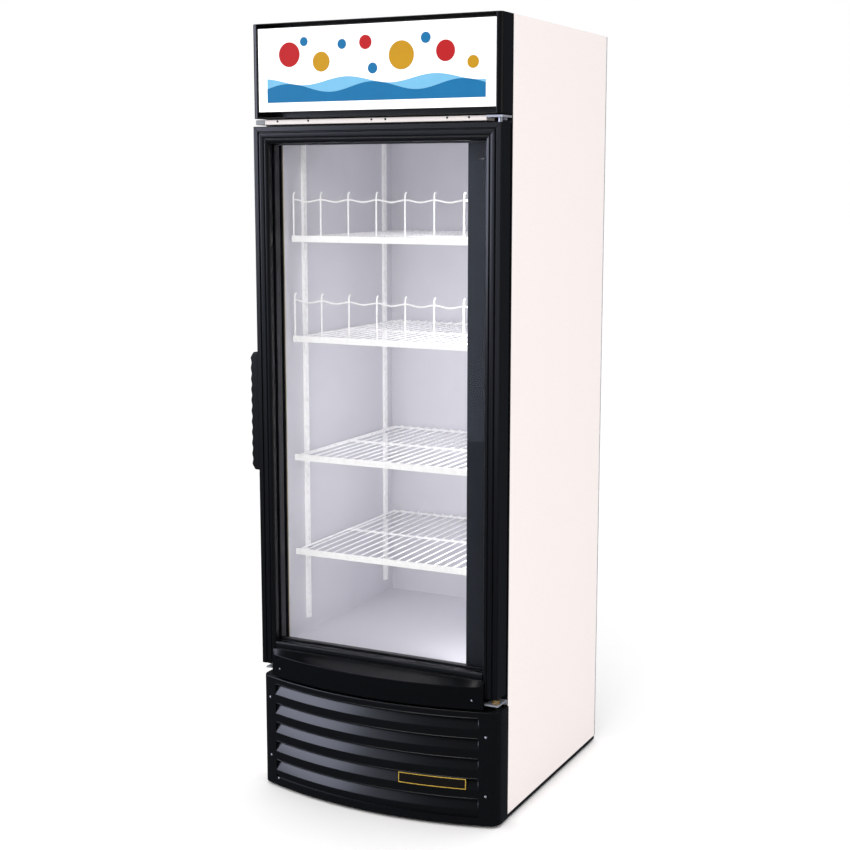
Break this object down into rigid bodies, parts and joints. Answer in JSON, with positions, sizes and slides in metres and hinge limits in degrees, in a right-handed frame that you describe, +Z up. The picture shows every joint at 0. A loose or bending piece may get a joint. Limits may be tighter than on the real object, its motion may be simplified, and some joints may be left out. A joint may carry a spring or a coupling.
{
  "type": "glass door merchandiser",
  "caption": "Upright refrigerated display cabinet with a hinged glass door, lit header sign, wire shelves and a bowed louvred grille below.",
  "frame": {"origin": "on the floor, under the middle of the whole object's bounding box", "axes": "+X to the right seen from the front, +Y to the back, +Z up; the door faces -Y"},
  "size_m": [0.712, 0.759, 1.997],
  "materials": {
    "white_steel": "textured baked enamel",
    "galvanised": "zinc spangle",
    "foam": "rigid foam",
    "liner_white": "smooth white enamel",
    "black_steel": "satin black",
    "black_moulding": "satin moulded",
    "sign_acrylic": "translucent printed sheet",
    "lamp_glass": "phosphor-coated tube",
    "badge_plate": "black plate with a gold rim",
    "bright_steel": "zinc plated",
    "lamp_grey": "satin",
    "shelf_wire": "white epoxy coat",
    "aluminium": "mill",
    "grey_plastic": "moulded",
    "clear_glass": "clear float",
    "gasket_rubber": "matte"
  },
  "bodies": {
    "cabinet": {"left_side_panel": "white_steel", "right_side_panel": "white_steel", "top_panel": "white_steel", "lintel_strip": "white_steel", "back_panel": "galvanised", "left_door_bracket": "galvanised", "evaporator_fan_motor": "galvanised", "condenser_fan_motor": "galvanised", "drain_pan": "galvanised", "control_box": "galvanised", "insulation_left": "foam", "insulation_right": "foam", "insulation_rear": "foam", "insulation_ceiling": "foam", "insulation_floor": "foam", "inner_liner": "liner_white", "evaporator_cover": "liner_white", "front_frame": "black_steel", "base_frame": "black_steel", "condenser_shroud": "black_steel", "compressor": "black_steel", "header_housing": "black_moulding", "grille": "black_moulding", "power_inlet": "black_moulding", "sign_panel": "sign_acrylic", "header_lamp": "lamp_glass", "lamp_tube": "lamp_glass", "grille_badge": "badge_plate", "bottom_hinge_bracket": "bright_steel", "top_hinge_bracket": "bright_steel", "lamp_housing": "lamp_grey", "pilaster_front_left": "shelf_wire", "pilaster_front_right": "shelf_wire", "pilaster_rear_left": "shelf_wire", "pilaster_rear_right": "shelf_wire", "evaporator_coil": "aluminium", "condenser_coil": "aluminium", "thermostat": "grey_plastic"},
    "door": {"door_stile_left": "black_moulding", "door_stile_right": "black_moulding", "door_rail_top": "black_moulding", "door_rail_bottom": "black_moulding", "outer_glass": "clear_glass", "inner_glass": "clear_glass", "glass_spacer": "black_steel", "door_gasket": "gasket_rubber", "door_handle": "black_moulding", "door_apron": "black_moulding"},
    "shelf_1": {"shelf_1": "shelf_wire"},
    "shelf_2": {"shelf_2": "shelf_wire"},
    "shelf_3": {"shelf_3": "shelf_wire"},
    "shelf_4": {"shelf_4": "shelf_wire"},
    "evaporator_fan": {"evaporator_fan": "black_moulding"},
    "condenser_fan": {"condenser_fan": "aluminium"},
    "thermostat_dial": {"thermostat_dial": "black_moulding"},
    "light_switch": {"light_switch": "black_moulding"},
    "foot_front_left": {"leveling_foot_front_left": "bright_steel"},
    "foot_front_right": {"leveling_foot_front_right": "bright_steel"},
    "foot_rear_left": {"leveling_foot_rear_left": "bright_steel"},
    "foot_rear_right": {"leveling_foot_rear_right": "bright_steel"}
  },
  "joints": [
    {"name": "door_hinge", "type": "hinge", "parent": "cabinet", "child": "door", "pos_m": [0.342, -0.3065, 1.04], "axis": [0, 0, 1], "range_deg": [0, 120], "stiffness_Nm_per_rad": 1.5},
    {"name": "shelf_1_lift", "type": "slide", "parent": "cabinet", "child": "shelf_1", "axis": [0, 0, 1], "range_m": [0, 0.04]},
    {"name": "shelf_2_lift", "type": "slide", "parent": "cabinet", "child": "shelf_2", "axis": [0, 0, 1], "range_m": [0, 0.04]},
    {"name": "shelf_3_lift", "type": "slide", "parent": "cabinet", "child": "shelf_3", "axis": [0, 0, 1], "range_m": [0, 0.04]},
    {"name": "shelf_4_lift", "type": "slide", "parent": "cabinet", "child": "shelf_4", "axis": [0, 0, 1], "range_m": [0, 0.04]},
    {"name": "evaporator_fan_spin", "type": "hinge", "parent": "cabinet", "child": "evaporator_fan", "pos_m": [0.011, -0.0345, 1.852], "axis": [0, 1, 0], "continuous": true},
    {"name": "condenser_fan_spin", "type": "hinge", "parent": "cabinet", "child": "condenser_fan", "pos_m": [-0.139, -0.1265, 0.178], "axis": [0, 1, 0], "continuous": true},
    {"name": "thermostat_turn", "type": "hinge", "parent": "cabinet", "child": "thermostat_dial", "pos_m": [-0.204, -0.0885, 1.815], "axis": [0, -1, 0], "range_deg": [-135, 135]},
    {"name": "light_switch_rock", "type": "hinge", "parent": "cabinet", "child": "light_switch", "pos_m": [0.273, -0.2635, 1.672], "axis": [1, 0, 0], "range_deg": [0, 16]},
    {"name": "foot_front_left_turn", "type": "hinge", "parent": "cabinet", "child": "foot_front_left", "pos_m": [-0.309, -0.2345, 0.01], "axis": [0, 0, 1], "continuous": true},
    {"name": "foot_front_right_turn", "type": "hinge", "parent": "cabinet", "child": "foot_front_right", "pos_m": [0.331, -0.2345, 0.01], "axis": [0, 0, 1], "continuous": true},
    {"name": "foot_rear_left_turn", "type": "hinge", "parent": "cabinet", "child": "foot_rear_left", "pos_m": [-0.309, 0.3535, 0.01], "axis": [0, 0, 1], "continuous": true},
    {"name": "foot_rear_right_turn", "type": "hinge", "parent": "cabinet", "child": "foot_rear_right", "pos_m": [0.331, 0.3535, 0.01], "axis": [0, 0, 1], "continuous": true}
  ]
}
